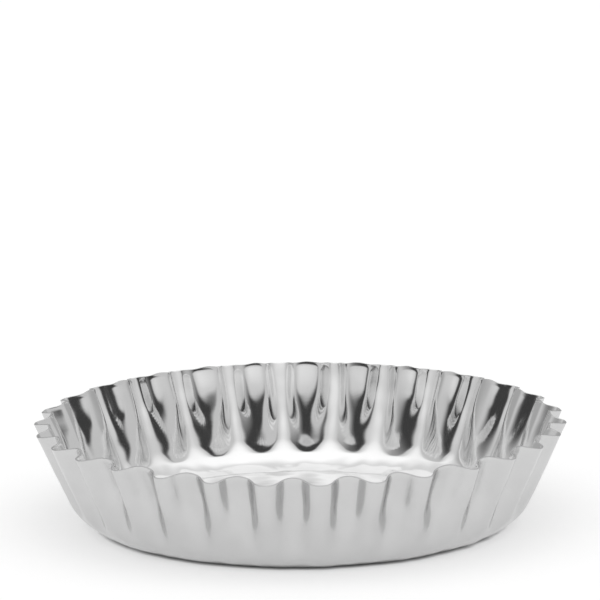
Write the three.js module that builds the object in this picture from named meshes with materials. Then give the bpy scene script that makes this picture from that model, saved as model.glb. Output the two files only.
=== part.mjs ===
// Mini pie pan: a flared, fluted ring of bright sheet metal, and the loose base that lies on its ledge.
// Millimetres, +Z up. The origin is the centre of the underside, where the pan stands.
import * as THREE from "three";

// Driving dimensions of the ring
const RIM_DIAMETER = 100; // over the outward flutes
const PAN_HEIGHT = 19.7; // to the rim's highest points, which are on the inward flutes
const RIM_WAVE = 0.97; // how far the rim dips on the outward flutes
const FLUTE_COUNT = 30;
const FLUTE_DEPTH = 2.65; // from the inward to the outward flutes, at the rim
const OUTWARD_FLARE = 24; // lean of the outward flutes, degrees away from upright
const INWARD_FLARE = 20; // the inward flutes stand steeper, so the flutes fade towards the corner
const CORNER_RADIUS = 8; // outside, between ledge and wall, midway between two flutes
const LEDGE_WIDTH = 5; // the flat that carries the base
const RING_SHEET = 0.35;

// Driving dimensions of the loose base
const BASE_SHEET = 0.5;
const BASE_CLEARANCE = 0.3; // from the base's edge to where the corner starts to rise
const BASE_EDGE_BREAK = 0.1; // its sheared edge is broken top and bottom

// Fineness of the facets
const STEPS_ACROSS_FLUTE = 8;
const STEPS_ROUND_CORNER = 4;
const STEPS_UP_WALL = 2;
const STEPS_ROUND_BASE = 96;

const BRIGHT_METAL = { color: 0xd6d6d4, metalness: 1, roughness: 0.18 };

// Values that follow from the driving dimensions
const outwardFlare = THREE.MathUtils.degToRad(OUTWARD_FLARE);
const inwardFlare = THREE.MathUtils.degToRad(INWARD_FLARE);
const meanFlare = (outwardFlare + inwardFlare) / 2;
const meanRimRadius = (RIM_DIAMETER - FLUTE_DEPTH) / 2;
const meanRimHeight = PAN_HEIGHT - RIM_WAVE / 2 - RING_SHEET * Math.sin(inwardFlare);
const meanFootRadius = meanRimRadius - meanRimHeight * Math.tan(meanFlare);
const flatRadius = meanFootRadius - CORNER_RADIUS * Math.tan((Math.PI / 2 - meanFlare) / 2);
const holeRadius = flatRadius - LEDGE_WIDTH;

// A section of the sheet runs through three stretches: 0 to 1 is the ledge, 1 to 2 the corner, 2 to 3 the wall.
const HOLE_EDGE = 0;
const CORNER_START = 1;
const WALL_START = 2;
const RIM_EDGE = 3;
const NUDGE = 1e-4; // step that gives the direction of the surface

// Point on the sheet's outside, at a turn around the axis from the front and a way along its section.
function outsidePoint(turn, way) {
  const wave = Math.cos(FLUTE_COUNT * turn); // 1 on an outward flute, -1 on an inward one
  const flare = meanFlare + (wave * (outwardFlare - inwardFlare)) / 2;
  const cornerTurn = Math.PI / 2 - flare;
  const rimRadius = meanRimRadius + (wave * FLUTE_DEPTH) / 2;
  const rimHeight = meanRimHeight - (wave * RIM_WAVE) / 2;
  const footRadius = rimRadius - rimHeight * Math.tan(flare);
  const corner = (footRadius - flatRadius) / Math.tan(cornerTurn / 2);

  const ledgeShare = THREE.MathUtils.clamp(way - HOLE_EDGE, 0, 1);
  const arc = THREE.MathUtils.clamp(way - CORNER_START, 0, 1) * cornerTurn;
  const wallShare = THREE.MathUtils.clamp(way - WALL_START, 0, 1);
  const wallStartHeight = corner * (1 - Math.cos(cornerTurn));
  const rise = wallShare * (rimHeight - wallStartHeight);

  const radius = holeRadius + ledgeShare * LEDGE_WIDTH + corner * Math.sin(arc) + rise * Math.tan(flare);
  const height = corner * (1 - Math.cos(arc)) + rise;
  return new THREE.Vector3(radius * Math.sin(turn), -radius * Math.cos(turn), height);
}

// The point opposite on the sheet's inside, one sheet thickness away square to the surface.
function insidePoint(turn, way) {
  const before = Math.max(way - NUDGE, HOLE_EDGE);
  const after = Math.min(way + NUDGE, RIM_EDGE);
  const along = outsidePoint(turn, after).sub(outsidePoint(turn, before));
  const around = outsidePoint(turn + NUDGE, way).sub(outsidePoint(turn - NUDGE, way));
  const inwards = along.cross(around).normalize();
  return outsidePoint(turn, way).addScaledVector(inwards, RING_SHEET);
}

// The ways along a section at which the sheet gets a row of points.
function sectionWays() {
  const ways = [HOLE_EDGE];
  for (let i = 0; i <= STEPS_ROUND_CORNER; i++) ways.push(CORNER_START + i / STEPS_ROUND_CORNER);
  for (let i = 1; i <= STEPS_UP_WALL; i++) ways.push(WALL_START + i / STEPS_UP_WALL);
  return ways;
}

// Closed skin over rings of points that run around the axis, each joined to the next and the last to the first.
function skinOverRings(rings) {
  const columns = rings[0].length;
  const index = [];
  rings.forEach((_, k) => {
    const next = (k + 1) % rings.length;
    for (let i = 0; i < columns; i++) {
      const j = (i + 1) % columns;
      const [a, b] = [k * columns + i, k * columns + j];
      const [c, d] = [next * columns + j, next * columns + i];
      index.push(a, b, c, a, c, d);
    }
  });
  const geometry = new THREE.BufferGeometry().setFromPoints(rings.flat());
  geometry.setIndex(index);
  geometry.computeVertexNormals();
  return geometry;
}

// The pressed ring: up the outside of the sheet, over the rim's edge, and down the inside to the hole's edge.
function flutedRing() {
  const columns = FLUTE_COUNT * STEPS_ACROSS_FLUTE;
  const turns = Array.from({ length: columns }, (_, i) => (i / columns) * 2 * Math.PI);
  const ways = sectionWays();
  const outside = ways.map((way) => turns.map((turn) => outsidePoint(turn, way)));
  const inside = ways.map((way) => turns.map((turn) => insidePoint(turn, way))).reverse();
  return skinOverRings([...outside, ...inside]);
}

// The loose base: a flat disc, turned about its own axis, lying face to face on the ledge.
function looseBase() {
  const radius = flatRadius - BASE_CLEARANCE;
  const profile = [
    new THREE.Vector2(0, 0),
    new THREE.Vector2(radius - BASE_EDGE_BREAK, 0),
    new THREE.Vector2(radius, BASE_EDGE_BREAK),
    new THREE.Vector2(radius, BASE_SHEET - BASE_EDGE_BREAK),
    new THREE.Vector2(radius - BASE_EDGE_BREAK, BASE_SHEET),
    new THREE.Vector2(0, BASE_SHEET),
  ];
  return new THREE.LatheGeometry(profile, STEPS_ROUND_BASE).rotateX(Math.PI / 2);
}

function namedMesh(name, geometry) {
  const mesh = new THREE.Mesh(geometry, new THREE.MeshStandardMaterial(BRIGHT_METAL));
  mesh.name = name;
  return mesh;
}

const ring = namedMesh("fluted_ring", flutedRing());
const base = namedMesh("loose_base", looseBase());
base.position.z = RING_SHEET;

const piePan = new THREE.Group();
piePan.add(ring, base);

export default piePan;
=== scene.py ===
"""Mini pie pan: the looks of a fluted tinplate pan with a loose base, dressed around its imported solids."""

import math

import bmesh
import bpy
from bpy.props import FloatProperty, FloatVectorProperty, IntProperty, PointerProperty
from mathutils import Matrix, Vector, noise


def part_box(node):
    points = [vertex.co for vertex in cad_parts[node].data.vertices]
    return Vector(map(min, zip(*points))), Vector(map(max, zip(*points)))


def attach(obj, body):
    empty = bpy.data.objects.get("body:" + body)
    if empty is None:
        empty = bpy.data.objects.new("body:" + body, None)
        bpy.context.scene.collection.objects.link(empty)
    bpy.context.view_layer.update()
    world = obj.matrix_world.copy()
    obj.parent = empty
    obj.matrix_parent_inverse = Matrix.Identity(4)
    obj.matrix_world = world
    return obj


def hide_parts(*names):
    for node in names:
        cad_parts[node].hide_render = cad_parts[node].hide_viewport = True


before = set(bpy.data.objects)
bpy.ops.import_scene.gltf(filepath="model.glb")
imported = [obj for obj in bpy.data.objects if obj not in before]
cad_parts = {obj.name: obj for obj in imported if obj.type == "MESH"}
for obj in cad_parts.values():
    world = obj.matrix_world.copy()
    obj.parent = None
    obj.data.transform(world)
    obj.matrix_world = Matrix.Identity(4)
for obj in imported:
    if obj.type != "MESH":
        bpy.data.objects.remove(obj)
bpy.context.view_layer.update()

bl_info = {
    "name": "Mini pie pan",
    "version": (1, 0, 0),
    "blender": (4, 5, 0),
    "location": "View3D > Sidebar > Pie Pan",
    "description": "Builds a fluted mini pie pan with a loose base, and a plain studio to show it in",
    "category": "Object",
}

MM = 0.001
SENSOR_WIDTH_MM = 36.0

ring_low, ring_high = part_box("fluted_ring")
base_low, base_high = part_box("loose_base")


def linear(hex_colour):
    """Linear red, green and blue of an sRGB hex colour."""
    shares = [int(hex_colour[i:i + 2], 16) / 255 for i in (0, 2, 4)]
    return tuple(s / 12.92 if s <= 0.04045 else ((s + 0.055) / 1.055) ** 2.4 for s in shares)


# Settings that a user would change

class PiePanRing(bpy.types.PropertyGroup):
    """Sizes of the fluted ring"""

    rim_diameter: FloatProperty(
        name="Rim Diameter", description="Across the outward flutes at the rim",
        default=ring_high.y - ring_low.y, unit="LENGTH")
    height: FloatProperty(
        name="Height", description="From the table to the rim's highest points",
        default=ring_high.z - ring_low.z, unit="LENGTH")
    rim_wave: FloatProperty(
        name="Rim Wave", description="How far the rim dips on the outward flutes",
        default=0.97 * MM, unit="LENGTH")
    flutes: IntProperty(
        name="Flutes", description="Number of outward flutes around the wall", default=30, min=3)
    flute_depth: FloatProperty(
        name="Flute Depth", description="From the inward to the outward flutes at the rim",
        default=2.65 * MM, unit="LENGTH")
    flat_radius: FloatProperty(
        name="Flat Radius", description="Radius of the flat underside, where the corner starts to rise",
        default=35.57 * MM, unit="LENGTH")
    hole_radius: FloatProperty(
        name="Hole Radius", description="Radius of the hole that the base covers",
        default=30.57 * MM, unit="LENGTH")
    sheet: FloatProperty(
        name="Sheet", description="Thickness of the sheet", default=0.35 * MM, unit="LENGTH")
    edge_break: FloatProperty(
        name="Edge Break", description="How far the sheared edges are broken",
        default=0.05 * MM, unit="LENGTH")
    corner: FloatProperty(
        name="Corner", description="Radius of the rounded bottom corner", default=9.0 * MM, unit="LENGTH")
    toe_height: FloatProperty(
        name="Toe Height", description="Height on the corner at which an inward flute starts",
        default=2.5 * MM, unit="LENGTH")
    toe_radius: FloatProperty(
        name="Toe Radius", description="Radius of the bend at which an inward flute leaves the corner",
        default=1.0 * MM, unit="LENGTH")
    toe_lean: FloatProperty(
        name="Toe Lean", description="Lean of an inward flute just above that bend",
        default=math.radians(18), unit="ROTATION")
    run_radius: FloatProperty(
        name="Run Radius", description="Radius of the slow bend from the toe to the wall of an inward flute",
        default=12.5 * MM, unit="LENGTH")
    outward_foot_lean: FloatProperty(
        name="Outward Foot Lean", description="Lean of an outward flute just above the corner",
        default=math.radians(25.3), unit="ROTATION")
    outward_rim_lean: FloatProperty(
        name="Outward Rim Lean", description="Lean of an outward flute at the rim",
        default=math.radians(23.5), unit="ROTATION")
    inward_foot_lean: FloatProperty(
        name="Inward Foot Lean", description="Lean of an inward flute just above the corner",
        default=math.radians(9.0), unit="ROTATION")
    inward_rim_lean: FloatProperty(
        name="Inward Rim Lean", description="Lean of an inward flute at the rim",
        default=math.radians(27.1), unit="ROTATION")
    rim_curl: FloatProperty(
        name="Rim Curl", description="How far the very edge of an inward flute curls back in",
        default=0.17 * MM, unit="LENGTH")
    unevenness: FloatProperty(
        name="Unevenness", description="How far the pressed wall strays from its true form",
        default=0.18 * MM, unit="LENGTH")
    sway: FloatProperty(
        name="Sway", description="How far a flute wanders sideways from its even place",
        default=0.9 * MM, unit="LENGTH")
    pucker: FloatProperty(
        name="Pucker", description="How far the sheet puckers where it was drawn in round the bottom corner",
        default=0.12 * MM, unit="LENGTH")


class PiePanBase(bpy.types.PropertyGroup):
    """Sizes of the loose base"""

    radius: FloatProperty(
        name="Radius", description="Radius of the loose base", default=base_high.x, unit="LENGTH")
    underside: FloatProperty(
        name="Underside", description="Height at which the base lies on the ledge",
        default=base_low.z, unit="LENGTH")
    sheet: FloatProperty(
        name="Sheet", description="Thickness of the base", default=base_high.z - base_low.z, unit="LENGTH")
    edge_break: FloatProperty(
        name="Edge Break", description="How far the sheared edge is broken",
        default=0.1 * MM, unit="LENGTH")
    unevenness: FloatProperty(
        name="Unevenness", description="How far the sheet strays from flat",
        default=0.13 * MM, unit="LENGTH")


class PiePanFinish(bpy.types.PropertyGroup):
    """Finish of the metal"""

    bright_tin: FloatVectorProperty(
        name="Bright Tin", description="Colour of the tin as it left the rolls, on the inside and the base",
        subtype="COLOR", default=linear("eeeeee"))
    bright_roughness: FloatProperty(
        name="Bright Roughness", description="Mean roughness of the bright tin",
        default=0.09, min=0.0, max=1.0)
    drawn_tin: FloatVectorProperty(
        name="Drawn Tin", description="Colour of the tin on the outside, which the die has rubbed duller",
        subtype="COLOR", default=linear("d3d3d3"))
    drawn_roughness: FloatProperty(
        name="Drawn Roughness", description="Mean roughness of the drawn tin",
        default=0.22, min=0.0, max=1.0)
    sheared_steel: FloatVectorProperty(
        name="Sheared Steel", description="Colour of the bare steel on the cut edges",
        subtype="COLOR", default=linear("cccccc"))


class PiePanStage(bpy.types.PropertyGroup):
    """Camera and studio"""

    azimuth: FloatProperty(
        name="Azimuth", description="How far the camera stands round from the front",
        default=math.radians(-4.3), unit="ROTATION")
    elevation: FloatProperty(
        name="Elevation", description="How far the camera looks down",
        default=math.radians(13.46), unit="ROTATION")
    roll: FloatProperty(
        name="Roll", description="Roll of the picture", default=math.radians(0.6), unit="ROTATION")
    distance: FloatProperty(
        name="Distance", description="From the camera to the middle of the rim",
        default=2.176, unit="LENGTH")
    picture_width: FloatProperty(
        name="Picture Width", description="Width of the picture at the middle of the rim",
        default=112.57 * MM, unit="LENGTH")
    aim_above: FloatProperty(
        name="Aim Above", description="How far the camera aims above the middle of the rim",
        default=22.67 * MM, unit="LENGTH")
    rim_middle: FloatProperty(
        name="Rim Middle", description="Mean height of the rim", default=19.08 * MM, unit="LENGTH")
    floor: FloatVectorProperty(
        name="Floor", description="Colour of the floor", subtype="COLOR", default=linear("d6d6d6"))
    dark_side: FloatVectorProperty(
        name="Dark Side", description="Colour of the unlit room behind the camera",
        subtype="COLOR", default=linear("404040"))


# Helpers

def add_node(tree, kind, values=None, links=None, **settings):
    """A new node with its settings, its socket values and its incoming links."""
    node = tree.nodes.new(kind)
    for name, value in settings.items():
        setattr(node, name, value)
    for socket, value in (values or {}).items():
        node.inputs[socket].default_value = value
    for socket, source in (links or {}).items():
        tree.links.new(source, node.inputs[socket])
    return node


def new_material(name):
    """An empty node material of that name, and its tree."""
    material = bpy.data.materials.new(name)
    material.use_nodes = True
    material.node_tree.nodes.clear()
    return material, material.node_tree


def opaque(colour):
    return (*colour, 1.0)


def piece_from(bm, name, *materials):
    """The finished mesh as an object at the origin."""
    mesh = bpy.data.meshes.new(name)
    bm.to_mesh(mesh)
    bm.free()
    for material in materials:
        mesh.materials.append(material)
    piece = bpy.data.objects.new(name, mesh)
    bpy.context.scene.collection.objects.link(piece)
    return piece


def spread(start, end, steps):
    """Even steps from start to end, both included."""
    return [start + (end - start) * i / steps for i in range(steps + 1)]


def eased(value, start, end):
    """0 at the start and 1 at the end, with a smooth change between them."""
    share = min(max((value - start) / (end - start), 0.0), 1.0)
    return share * share * (3 - 2 * share)


# Materials

PATCH_SIZE = 0.009  # the tin lies thicker in patches about this far across
PATCH_TONE = 0.93  # and is darker there, down to this share of its colour
PATCH_RANGE = (0.25, 0.75)  # values of the patches' noise over which the gloss changes
GLOSS_RANGE = (0.75, 1.25)  # shares of the mean roughness between which it changes
LINE_DEPTH, LINE_STRENGTH = 0.02 * MM, 0.05
TEAR_WIDTH = 0.0004  # of the marks that the shear leaves on a cut edge
EDGE_ROUGHNESS = (0.3, 0.5)


def tin_coat(tree, colour, roughness, lines_apart, lines_long):
    """A bright coat of tin over fine lines in the sheet.

    Its tone and gloss change slowly where it lies thicker.
    """
    sheet = add_node(tree, "ShaderNodeUVMap", uv_map="flat_sheet")
    drawn_out = add_node(tree, "ShaderNodeMapping", {"Scale": (1 / lines_long, 1 / lines_apart, 1.0)},
                         {"Vector": sheet.outputs["UV"]})
    lines = add_node(tree, "ShaderNodeTexNoise", {"Scale": 1.0, "Detail": 2.0, "Roughness": 0.6},
                     {"Vector": drawn_out.outputs["Vector"]})
    patches = add_node(tree, "ShaderNodeTexNoise",
                       {"Scale": 1 / PATCH_SIZE, "Detail": 3.0, "Roughness": 0.55},
                       {"Vector": sheet.outputs["UV"]})
    tone = add_node(tree, "ShaderNodeMix",
                    {"A": opaque(colour), "B": opaque([PATCH_TONE * share for share in colour])},
                    {"Factor": patches.outputs["Fac"]}, data_type="RGBA")
    gloss = add_node(tree, "ShaderNodeMapRange",
                     {"From Min": PATCH_RANGE[0], "From Max": PATCH_RANGE[1],
                      "To Min": roughness * GLOSS_RANGE[0], "To Max": roughness * GLOSS_RANGE[1]},
                     {"Value": patches.outputs["Fac"]})
    relief = add_node(tree, "ShaderNodeBump", {"Strength": LINE_STRENGTH, "Distance": LINE_DEPTH},
                      {"Height": lines.outputs["Fac"]})
    metal = add_node(tree, "ShaderNodeBsdfPrincipled", {"Metallic": 1.0},
                     {"Base Color": tone.outputs["Result"], "Roughness": gloss.outputs["Result"],
                      "Normal": relief.outputs["Normal"]})
    add_node(tree, "ShaderNodeOutputMaterial", links={"Surface": metal.outputs["BSDF"]})


def bright_tinplate(finish):
    """Tinplate as it leaves the rolls: steel sheet with a bright coat of tin.

    To the eye it is a clear mirror: sharp bright and dark stripes, and a faint grain of fine straight lines.
    """
    material, tree = new_material("bright_tinplate")
    # The lines from the rolls are far finer than a pixel, so they are drawn 0.3 mm apart and 15 mm long.
    tin_coat(tree, finish.bright_tin, finish.bright_roughness, lines_apart=0.0003, lines_long=0.015)
    return material


def drawn_tinplate(finish):
    """Tinplate that was drawn against the die: a shade duller, and satin where the inside is a mirror.

    To the eye it blurs the floor that it mirrors into one smooth grey, with faint scuffs.
    """
    material, tree = new_material("drawn_tinplate")
    # The scuffs are finer than a pixel, so they are drawn 0.5 mm apart and 4 mm long.
    tin_coat(tree, finish.drawn_tin, finish.drawn_roughness, lines_apart=0.0005, lines_long=0.004)
    return material


def sheared_steel_edge(finish):
    """Bare steel where the sheet was cut: greyer and duller than the tin.

    To the eye it has the fine tear marks of the shear.
    """
    material, tree = new_material("sheared_steel_edge")
    place = add_node(tree, "ShaderNodeTexCoord")
    tears = add_node(tree, "ShaderNodeTexNoise", {"Scale": 1 / TEAR_WIDTH, "Detail": 2.0},
                     {"Vector": place.outputs["Object"]})
    dullness = add_node(tree, "ShaderNodeMapRange",
                        {"To Min": EDGE_ROUGHNESS[0], "To Max": EDGE_ROUGHNESS[1]},
                        {"Value": tears.outputs["Fac"]})
    metal = add_node(tree, "ShaderNodeBsdfPrincipled",
                     {"Base Color": opaque(finish.sheared_steel), "Metallic": 1.0},
                     {"Roughness": dullness.outputs["Result"]})
    add_node(tree, "ShaderNodeOutputMaterial", links={"Surface": metal.outputs["BSDF"]})
    return material


def finished(make, finish):
    """The material that this function makes, made once."""
    return bpy.data.materials.get(make.__name__) or make(finish)


# The fluted ring

# A section of the sheet has three stretches: 0 to 1 is the ledge, 1 to 2 the corner, 2 to 3 the wall.
CORNER_START = 1.0
WALL_START = 2.0
RIM = 3.0
STEPS_ACROSS_FLUTE = 30
STEPS_OVER_LEDGE = 2
STEPS_ROUND_CORNER = 8
STEPS_ROUND_TOE = 4
STEPS_UP_RUN = 5
TOE_PART = 0.35  # share of the way from the toe to the wall that its bend takes
STEPS_UP_WALL = 18
STEPS_UNDER_RIM = 5
EDGE_STEPS = 2
SHARP_EDGE = math.radians(50)  # only edges sharper than this are broken
CURL_START = 2.934  # the edge curls over the last millimetre
# An inward flute is a fold, narrowest a little above its foot, and widens from there into a flat crest.
# Climbs are shares of the way up the wall. A higher point broadens the inward flute, and squareness gives
# it clear shoulders.
FOLD_CLIMB, CREST_CLIMB = 0.2, 0.65
FOOT_POINT, FOLD_POINT, CREST_POINT = 1.3, 1.08, 1.5
FOLD_SQUARENESS, CREST_SQUARENESS = 0.2, 1.5
FOLD_ROUNDING = 0.01


def section_ways(ring):
    """The ways along a section at which the sheet gets a row of points."""
    toe = CORNER_START + toe_share(ring)
    run = toe + (WALL_START - toe) * TOE_PART
    return (spread(0.0, CORNER_START, STEPS_OVER_LEDGE)[:-1]
            + spread(CORNER_START, toe, STEPS_ROUND_CORNER)[:-1]
            + spread(toe, run, STEPS_ROUND_TOE)[:-1]
            + spread(run, WALL_START, STEPS_UP_RUN)[:-1]
            + spread(WALL_START, CURL_START, STEPS_UP_WALL)[:-1]
            + spread(CURL_START, RIM, STEPS_UNDER_RIM))


def flute_shares(ring, turn, way):
    """How far out and how far down the sheet stands, from 0 on an inward flute to 1 on an outward one."""
    wave = (1 + math.cos(ring.flutes * turn)) / 2
    climb = max(way - WALL_START, 0.0)
    blunted = (max(FOLD_CLIMB - climb, 0.0) / FOLD_CLIMB) ** 2
    widened = eased(climb, FOLD_CLIMB, CREST_CLIMB)
    point = FOLD_POINT + (FOOT_POINT - FOLD_POINT) * blunted + (CREST_POINT - FOLD_POINT) * widened
    squareness = FOLD_SQUARENESS + (CREST_SQUARENESS - FOLD_SQUARENESS) * widened
    low = FOLD_ROUNDING ** point
    folded = ((wave + FOLD_ROUNDING) ** point - low) / ((1 + FOLD_ROUNDING) ** point - low)
    out = math.tanh(squareness * (2 * folded - 1)) / math.tanh(squareness) / 2 + 0.5
    return out, out + (wave - out) * climb


SWAY_SEED = Vector((1.0, 4.0, 8.0))
SWAYS_ROUND_RADIAN = 9.0  # so that each flute goes its own way
SWAYS_UP_WALL = 0.9


def swayed(ring, turn, way):
    """The turn at which a true flute has the shape that the sheet has here."""
    spot = Vector((SWAYS_ROUND_RADIAN * math.sin(turn), SWAYS_ROUND_RADIAN * math.cos(turn),
                   SWAYS_UP_WALL * max(way - WALL_START, 0.0)))
    return turn + 2 * ring.sway / ring.rim_diameter * noise.noise(spot + SWAY_SEED)


def toe_share(ring):
    """How far round the corner, from 0 to 1, the inward flutes start."""
    return math.acos(1 - ring.toe_height / ring.corner) / (math.pi / 2 - ring.outward_foot_lean)


def along_arc(radius, height, bend, start_lean, end_lean):
    """Where an arc ends that bends upwards from one lean to another."""
    return (radius + bend * (math.cos(end_lean) - math.cos(start_lean)),
            height + bend * (math.sin(start_lean) - math.sin(end_lean)))


def corner_lean(ring, share):
    """Lean of the sheet on the rounded corner."""
    return math.pi / 2 - share * (math.pi / 2 - ring.outward_foot_lean)


def outward_foot(ring, share):
    """Radius and height on the rounded corner."""
    return along_arc(ring.flat_radius, 0.0, ring.corner, math.pi / 2, corner_lean(ring, share))


def inward_foot(ring, share):
    """Radius and height at the foot of an inward flute, which leaves the corner at a toe."""
    toe = toe_share(ring)
    if share <= toe:
        return outward_foot(ring, share)
    risen = (share - toe) / (1 - toe)
    start_lean = corner_lean(ring, toe)
    bent = min(risen / TOE_PART, 1.0)
    spot = along_arc(*outward_foot(ring, toe), ring.toe_radius, start_lean,
                     start_lean + (ring.toe_lean - start_lean) * bent)
    run = max(risen - TOE_PART, 0.0) / (1 - TOE_PART)
    return along_arc(*spot, ring.run_radius, ring.toe_lean,
                     ring.toe_lean + (ring.inward_foot_lean - ring.toe_lean) * run)


def section_point(ring, way, foot, foot_lean, rim_lean, rim_radius, rim_height):
    """Radius and height on a section: flat ledge, foot, then a smooth curve with a set lean at both ends."""
    if way <= CORNER_START:
        return ring.hole_radius + (ring.flat_radius - ring.hole_radius) * way, 0.0
    if way <= WALL_START:
        return foot(ring, way - CORNER_START)
    share = way - WALL_START
    back = 1 - share
    foot_radius, foot_height = foot(ring, 1.0)
    rise = rim_height - foot_height
    radius = (foot_radius * (1 + 2 * share) * back ** 2
              + rim_radius * (3 - 2 * share) * share ** 2
              + rise * math.tan(foot_lean) * share * back ** 2
              - rise * math.tan(rim_lean) * share ** 2 * back)
    return radius, foot_height + rise * share


def pressed_point(ring, turn, way):
    """Where the press puts a point of the sheet's outside: turn is from the front, way along the section."""
    top = ring.height - ring.sheet * math.sin(ring.inward_rim_lean)
    inward_radius, inward_height = section_point(
        ring, way, inward_foot, ring.inward_foot_lean, ring.inward_rim_lean,
        ring.rim_diameter / 2 - ring.flute_depth, top)
    outward_radius, outward_height = section_point(
        ring, way, outward_foot, ring.outward_foot_lean, ring.outward_rim_lean,
        ring.rim_diameter / 2, top - ring.rim_wave)
    curl = max(way - CURL_START, 0.0) / (RIM - CURL_START)
    inward_radius -= ring.rim_curl * curl ** 2
    out, down = flute_shares(ring, swayed(ring, turn, way), way)
    radius = inward_radius + (outward_radius - inward_radius) * out
    height = inward_height + (outward_height - inward_height) * down
    return Vector((radius * math.sin(turn), -radius * math.cos(turn), height))


SLOW_WAVE, QUICK_WAVE = 10 * MM, 3 * MM  # lengths of the waves in the uneven sheet
QUICK_SEED = Vector((7.0, 3.0, 5.0))
QUICK_SHARE = 0.25  # size of the quick waves on the wall, as a share of the unevenness
LEDGE_END = CORNER_START + 0.4  # the ledge lies true, and the sheet is fully uneven from here on
PUCKERS_FULL = (CORNER_START + 0.25, WALL_START - 0.6)  # the puckers are strongest between these
PUCKERS_END = WALL_START - 0.2


def stray(ring, place, way):
    """How far the sheet bulges off its true form: slow waves, quick ones and puckers in the corner."""
    off_ledge = eased(way, CORNER_START, LEDGE_END)
    in_corner = eased(way, CORNER_START, PUCKERS_FULL[0]) * eased(way, PUCKERS_END, PUCKERS_FULL[1])
    slow = ring.unevenness * noise.noise(place / SLOW_WAVE) * off_ledge
    size = ring.pucker * in_corner + QUICK_SHARE * ring.unevenness
    quick = size * noise.noise(place / QUICK_WAVE + QUICK_SEED)
    return slow + quick * off_ledge


class PIEPAN_OT_press_ring(bpy.types.Operator):
    """Press the fluted ring from a flat blank of sheet"""

    bl_idname = "piepan.press_ring"
    bl_label = "Press Fluted Ring"

    def execute(self, context):
        ring = context.scene.pie_pan_ring
        finish = context.scene.pie_pan_finish
        ways = section_ways(ring)
        hole = ring.hole_radius
        reach = ring.height  # length that one stretch of the section takes on the flat blank

        # The flat blank: a line of points out from the hole's edge, spun about the axis
        bm = bmesh.new()
        line = [bm.verts.new((0.0, -hole - reach * way, 0.0)) for way in ways]
        edges = [bm.edges.new(pair) for pair in zip(line, line[1:])]
        bmesh.ops.spin(bm, geom=line + edges, cent=(0, 0, 0), axis=(0, 0, 1), angle=2 * math.pi,
                       steps=ring.flutes * STEPS_ACROSS_FLUTE, use_merge=True)
        bmesh.ops.recalc_face_normals(bm, faces=bm.faces[:])
        if bm.faces[0].normal.z > 0:
            bmesh.ops.reverse_faces(bm, faces=bm.faces[:])

        # The rolled grain lies straight on the flat blank, so the blank's own plan is the sheet's map.
        flat_sheet = bm.loops.layers.uv.new("flat_sheet")
        for face in bm.faces:
            face.smooth = True
            for loop in face.loops:
                loop[flat_sheet].uv = loop.vert.co.xy

        # The press: every point goes to its place on the flutes, and then a little off it
        points = [(vert, (vert.co.length - hole) / reach) for vert in bm.verts]
        for vert, way in points:
            vert.co = pressed_point(ring, math.atan2(vert.co.x, -vert.co.y), way)
        bm.normal_update()
        for vert, way in points:
            vert.co += vert.normal * stray(ring, vert.co, way)

        piece = piece_from(bm, "fluted_ring_pressing", finished(drawn_tinplate, finish),
                           finished(bright_tinplate, finish), finished(sheared_steel_edge, finish))
        wall = piece.modifiers.new("sheet", "SOLIDIFY")
        wall.thickness = ring.sheet
        wall.offset = -1.0
        wall.use_even_offset = True
        wall.material_offset = 1
        wall.material_offset_rim = 2
        edge = piece.modifiers.new("edge_break", "BEVEL")
        edge.width = ring.edge_break
        edge.segments = EDGE_STEPS
        edge.limit_method = "ANGLE"
        edge.angle_limit = SHARP_EDGE
        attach(piece, "ring")
        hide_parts("fluted_ring")
        return {"FINISHED"}


# The loose base

RINGS_ON_BASE = 60
STEPS_ROUND_BASE = 240
SAME_POINT = 0.001 * MM
STEEP = 0.5  # a face belongs to the cut edge where its normal rises or falls less than this
HOLE_MARGIN = 4 * MM  # the underside turns uneven over this distance, from the hole's edge inwards
BASE_SLOW_WAVE, BASE_QUICK_WAVE = 7 * MM, 3 * MM
BASE_QUICK_SEED = Vector((2.0, 9.0, 4.0))
BASE_QUICK_SHARE = 0.6  # size of the quick waves, as a share of the slow ones


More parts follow.
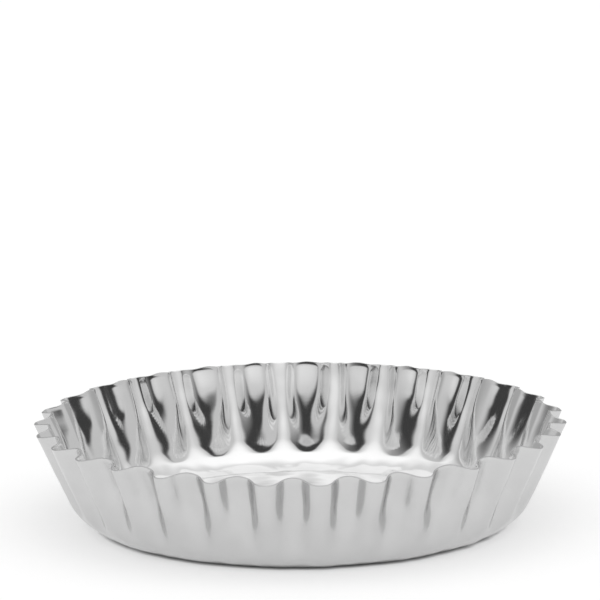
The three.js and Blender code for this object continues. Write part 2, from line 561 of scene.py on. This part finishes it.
class PIEPAN_OT_lay_base(bpy.types.Operator):
    """Lay the loose base on the ring's ledge"""

    bl_idname = "piepan.lay_base"
    bl_label = "Lay Loose Base"

    def execute(self, context):
        base = context.scene.pie_pan_base
        ring = context.scene.pie_pan_ring
        finish = context.scene.pie_pan_finish
        top = base.underside + base.sheet
        flat = base.radius - base.edge_break

        # Half the disc's outline, from the middle of its top round the edge to the middle of its underside
        outline = [(r, top) for r in spread(0.0, flat, RINGS_ON_BASE)]
        outline += [(base.radius, top - base.edge_break),
                    (base.radius, base.underside + base.edge_break)]
        outline += [(r, base.underside) for r in spread(flat, 0.0, RINGS_ON_BASE)]
        bm = bmesh.new()
        line = [bm.verts.new((0.0, -r, z)) for r, z in outline]
        edges = [bm.edges.new(pair) for pair in zip(line, line[1:])]
        bmesh.ops.spin(bm, geom=line + edges, cent=(0, 0, 0), axis=(0, 0, 1), angle=2 * math.pi,
                       steps=STEPS_ROUND_BASE, use_merge=True)
        bmesh.ops.remove_doubles(bm, verts=bm.verts[:], dist=SAME_POINT)
        bmesh.ops.recalc_face_normals(bm, faces=bm.faces[:])

        flat_sheet = bm.loops.layers.uv.new("flat_sheet")
        for face in bm.faces:
            face.smooth = True
            face.material_index = 1 if abs(face.normal.z) < STEEP else 0
            for loop in face.loops:
                loop[flat_sheet].uv = loop.vert.co.xy

        # The sheet is a little uneven, but it lies true on the ledge.
        for vert in bm.verts:
            radius = vert.co.xy.length
            inside_hole = min(max((ring.hole_radius - radius) / HOLE_MARGIN, 0.0), 1.0)
            free = inside_hole if vert.co.z < top - base.sheet / 2 else 1.0
            place = Vector((vert.co.x, vert.co.y, 0.0))
            slow = noise.noise(place / BASE_SLOW_WAVE)
            quick = noise.noise(place / BASE_QUICK_WAVE + BASE_QUICK_SEED)
            vert.co.z += base.unevenness * free * (slow + BASE_QUICK_SHARE * quick)

        piece = piece_from(bm, "loose_base_disc", finished(bright_tinplate, finish),
                           finished(sheared_steel_edge, finish))
        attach(piece, "base")
        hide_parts("loose_base")
        return {"FINISHED"}


# The stage

FLOOR_REACH = 6.0
FLOOR_LIFT = 0.46  # glow that takes the lit floor to plain white where it is seen
# Painted contact shadow: within this reach of the pan, the floor's glow is taken away, which paints shade
# into the gap under the corner.
CONTACT_SHADE_REACH = 0.7 * MM  # the glow ends where the pan is closer to the floor than this
DARK_DISTANCE = 3.0  # the dark side stands this far from the pan, behind the camera
# The studio that the metal mirrors, at its elevation in degrees: pale walls, and a soft white ceiling
STUDIO_SHADES = ((0, 0.61), (20, 0.63), (30, 0.72), (36, 0.86),
                 (42, 0.98), (50, 1.08), (60, 1.16), (75, 1.22))
BACK_SHADE = 0.7  # the back of the studio, behind the pan, has this share of that light
BACK_START, BACK_FULL = 0.05, 0.45  # it fades in between these shares of straight back
DARK_TOP = (21, 28)  # elevations, in degrees, between which the dark side of the room fades out
DARK_LEFT = (-85, -15)  # its left and right ends, round from the camera, fade out as well
DARK_RIGHT = (85, 35)
DARK_FOOT = (-2, 6)  # straight ahead it starts between these elevations, and higher towards the right
DARK_FOOT_RISE = 1.0  # metres for each radian
CARD_STEPS_UP, CARD_STEPS_ROUND = 4, 32
CLIP_START, CLIP_END = 0.1, 20.0


def pale_floor(stage):
    """Matt white board that keeps the pan's shadow.

    What is seen of it, in the metal too, is lifted to plain white.
    """
    material, tree = new_material("matt_white_board")
    board = add_node(tree, "ShaderNodeBsdfDiffuse", {"Color": opaque(stage.floor)})
    path = add_node(tree, "ShaderNodeLightPath")
    mirrored = add_node(tree, "ShaderNodeMath", {},
                        {0: path.outputs["Is Glossy Ray"], 1: path.outputs["Is Transmission Ray"]},
                        operation="MAXIMUM")
    seen = add_node(tree, "ShaderNodeMath", {},
                    {0: path.outputs["Is Camera Ray"], 1: mirrored.outputs["Value"]}, operation="MAXIMUM")
    # The lift ends in the narrow gap under the pan's corner. Ambient occlusion takes the glow away there,
    # which paints a contact shadow, so that the pan stands firmly on the floor.
    painted_contact_shade = add_node(tree, "ShaderNodeAmbientOcclusion", {"Distance": CONTACT_SHADE_REACH})
    shaded_lift = add_node(tree, "ShaderNodeMath", {1: FLOOR_LIFT}, {0: painted_contact_shade.outputs["AO"]},
                          operation="MULTIPLY")
    lift = add_node(tree, "ShaderNodeMath", {}, {0: shaded_lift.outputs["Value"], 1: seen.outputs["Value"]},
                    operation="MULTIPLY")
    glow = add_node(tree, "ShaderNodeEmission", {}, {"Strength": lift.outputs["Value"]})
    both = add_node(tree, "ShaderNodeAddShader", {}, {0: board.outputs["BSDF"], 1: glow.outputs["Emission"]})
    add_node(tree, "ShaderNodeOutputMaterial", links={"Surface": both.outputs["Shader"]})
    return material


def card_height(degrees):
    """Height on the dark side that the pan sees at that elevation."""
    return DARK_DISTANCE * math.tan(math.radians(degrees))


def shaded_studio(tree):
    """The studio's light: pale walls that brighten into a soft white ceiling, and a greyer back."""
    way = add_node(tree, "ShaderNodeTexCoord")
    axes = add_node(tree, "ShaderNodeSeparateXYZ", {}, {"Vector": way.outputs["Generated"]})
    shades = add_node(tree, "ShaderNodeValToRGB", {}, {"Fac": axes.outputs["Z"]})
    stops = shades.color_ramp.elements
    stops_ready = len(stops)
    ceiling = STUDIO_SHADES[-1][1]
    for i, (degrees, brightness) in enumerate(STUDIO_SHADES):
        spot = math.sin(math.radians(degrees))
        stop = stops[i] if i < stops_ready else stops.new(spot)
        stop.position = spot
        stop.color = opaque((brightness / ceiling,) * 3)
    back = add_node(tree, "ShaderNodeMapRange",
                    {"From Min": BACK_START, "From Max": BACK_FULL,
                     "To Min": ceiling, "To Max": ceiling * BACK_SHADE},
                    {"Value": axes.outputs["Y"]}, interpolation_type="SMOOTHSTEP")
    studio = add_node(tree, "ShaderNodeBackground", {},
                      {"Color": shades.outputs["Color"], "Strength": back.outputs["Result"]})
    add_node(tree, "ShaderNodeOutputWorld", links={"Surface": studio.outputs["Background"]})


def unlit_room(stage):
    """The dark room behind the camera. It fades out at its top, its foot and both ends."""
    material, tree = new_material("unlit_room")
    place = add_node(tree, "ShaderNodeTexCoord")
    from_camera = add_node(tree, "ShaderNodeMapping", {"Rotation": (0.0, 0.0, -stage.azimuth)},
                           {"Vector": place.outputs["Object"]})
    axes = add_node(tree, "ShaderNodeSeparateXYZ", {}, {"Vector": from_camera.outputs["Vector"]})
    ahead = add_node(tree, "ShaderNodeMath", {1: -1.0}, {0: axes.outputs["Y"]}, operation="MULTIPLY")
    turn = add_node(tree, "ShaderNodeMath", {}, {0: axes.outputs["X"], 1: ahead.outputs["Value"]},
                    operation="ARCTAN2")
    foot_rise = add_node(tree, "ShaderNodeMath", {1: -DARK_FOOT_RISE},
                         {0: turn.outputs["Value"], 2: axes.outputs["Z"]}, operation="MULTIPLY_ADD")
    ends = ((axes.outputs["Z"], card_height(DARK_TOP[1]), card_height(DARK_TOP[0])),
            (foot_rise.outputs["Value"], card_height(DARK_FOOT[0]), card_height(DARK_FOOT[1])),
            (turn.outputs["Value"], math.radians(DARK_LEFT[0]), math.radians(DARK_LEFT[1])),
            (turn.outputs["Value"], math.radians(DARK_RIGHT[0]), math.radians(DARK_RIGHT[1])))
    cover = None
    for value, clear, full in ends:
        fade = add_node(tree, "ShaderNodeMapRange", {"From Min": clear, "From Max": full}, {"Value": value},
                        interpolation_type="SMOOTHSTEP")
        if cover is None:
            cover = fade.outputs["Result"]
        else:
            joined = add_node(tree, "ShaderNodeMath", {}, {0: cover, 1: fade.outputs["Result"]},
                              operation="MULTIPLY")
            cover = joined.outputs["Value"]
    dark = add_node(tree, "ShaderNodeEmission", {"Color": opaque(stage.dark_side), "Strength": 1.0})
    open_air = add_node(tree, "ShaderNodeBsdfTransparent")
    both = add_node(tree, "ShaderNodeMixShader", {},
                    {0: cover, 1: open_air.outputs["BSDF"], 2: dark.outputs["Emission"]})
    add_node(tree, "ShaderNodeOutputMaterial", links={"Surface": both.outputs["Shader"]})
    return material


def curved_card(name, material, distance, start, end, top):
    """A card that stands on the floor, curved about the pan.

    The camera doesn't see it, so it is never a backdrop.
    """
    bm = bmesh.new()
    spot = (distance * math.sin(start), -distance * math.cos(start))
    line = [bm.verts.new((*spot, z)) for z in spread(0.0, top, CARD_STEPS_UP)]
    edges = [bm.edges.new(pair) for pair in zip(line, line[1:])]
    bmesh.ops.spin(bm, geom=line + edges, cent=(0, 0, 0), axis=(0, 0, 1), angle=end - start,
                   steps=CARD_STEPS_ROUND)
    card = piece_from(bm, name, material)
    card.visible_camera = False


class PIEPAN_OT_set_stage(bpy.types.Operator):
    """Set the floor, the soft studio light and the camera"""

    bl_idname = "piepan.set_stage"
    bl_label = "Set Stage"

    def execute(self, context):
        stage = context.scene.pie_pan_stage
        self.lay_floor(stage)
        self.light_studio(context.scene, stage)
        self.set_camera(context.scene, stage)
        context.scene.view_settings.view_transform = "Standard"
        return {"FINISHED"}

    def lay_floor(self, stage):
        bm = bmesh.new()
        bmesh.ops.create_grid(bm, x_segments=1, y_segments=1, size=FLOOR_REACH)
        piece_from(bm, "floor", pale_floor(stage))

    def light_studio(self, scene, stage):
        world = bpy.data.worlds.new("white_studio")
        world.use_nodes = True
        tree = world.node_tree
        tree.nodes.clear()
        shaded_studio(tree)
        scene.world = world
        curved_card("dark_side", unlit_room(stage), DARK_DISTANCE,
                    stage.azimuth + math.radians(DARK_LEFT[0]),
                    stage.azimuth + math.radians(DARK_RIGHT[0]), card_height(DARK_TOP[1]))

    def set_camera(self, scene, stage):
        data = bpy.data.cameras.new("camera")
        data.sensor_width = SENSOR_WIDTH_MM
        data.lens = SENSOR_WIDTH_MM * stage.distance / stage.picture_width
        data.clip_start = CLIP_START
        data.clip_end = CLIP_END
        a, e = stage.azimuth, stage.elevation
        back = Vector((math.sin(a) * math.cos(e), -math.cos(a) * math.cos(e), math.sin(e)))
        right = Vector((math.cos(a), math.sin(a), 0.0))
        up = back.cross(right)
        right, up = (right * math.cos(stage.roll) - up * math.sin(stage.roll),
                     right * math.sin(stage.roll) + up * math.cos(stage.roll))
        tilt = math.atan2(stage.aim_above, stage.distance)
        aimed_back = back * math.cos(tilt) - up * math.sin(tilt)
        aimed_up = up * math.cos(tilt) + back * math.sin(tilt)
        turned = Matrix((right, aimed_up, aimed_back)).transposed()
        camera = bpy.data.objects.new("camera", data)
        spot = Vector((0.0, 0.0, stage.rim_middle)) + back * stage.distance
        camera.matrix_world = Matrix.Translation(spot) @ turned.to_4x4()
        scene.collection.objects.link(camera)
        scene.camera = camera


# The panel and the registration

class PIEPAN_PT_sidebar(bpy.types.Panel):
    """Lists the settings and the steps of the pie pan"""

    bl_idname = "PIEPAN_PT_sidebar"
    bl_label = "Mini Pie Pan"
    bl_space_type = "VIEW_3D"
    bl_region_type = "UI"
    bl_category = "Pie Pan"

    def draw(self, context):
        steps = (("pie_pan_ring", PIEPAN_OT_press_ring), ("pie_pan_base", PIEPAN_OT_lay_base),
                 ("pie_pan_finish", None), ("pie_pan_stage", PIEPAN_OT_set_stage))
        for name, operator in steps:
            box = self.layout.box()
            group = getattr(context.scene, name)
            for setting in group.__annotations__:
                box.prop(group, setting)
            if operator:
                box.operator(operator.bl_idname)


GROUPS = {
    "pie_pan_ring": PiePanRing,
    "pie_pan_base": PiePanBase,
    "pie_pan_finish": PiePanFinish,
    "pie_pan_stage": PiePanStage,
}
CLASSES = (*GROUPS.values(), PIEPAN_OT_press_ring, PIEPAN_OT_lay_base, PIEPAN_OT_set_stage,
           PIEPAN_PT_sidebar)


def register():
    for cls in CLASSES:
        bpy.utils.register_class(cls)
    for name, group in GROUPS.items():
        setattr(bpy.types.Scene, name, PointerProperty(type=group))


def unregister():
    for name in GROUPS:
        delattr(bpy.types.Scene, name)
    for cls in reversed(CLASSES):
        bpy.utils.unregister_class(cls)


def main():
    register()
    bpy.ops.piepan.press_ring()
    bpy.ops.piepan.lay_base()
    bpy.ops.piepan.set_stage()


if __name__ == "__main__":
    main()
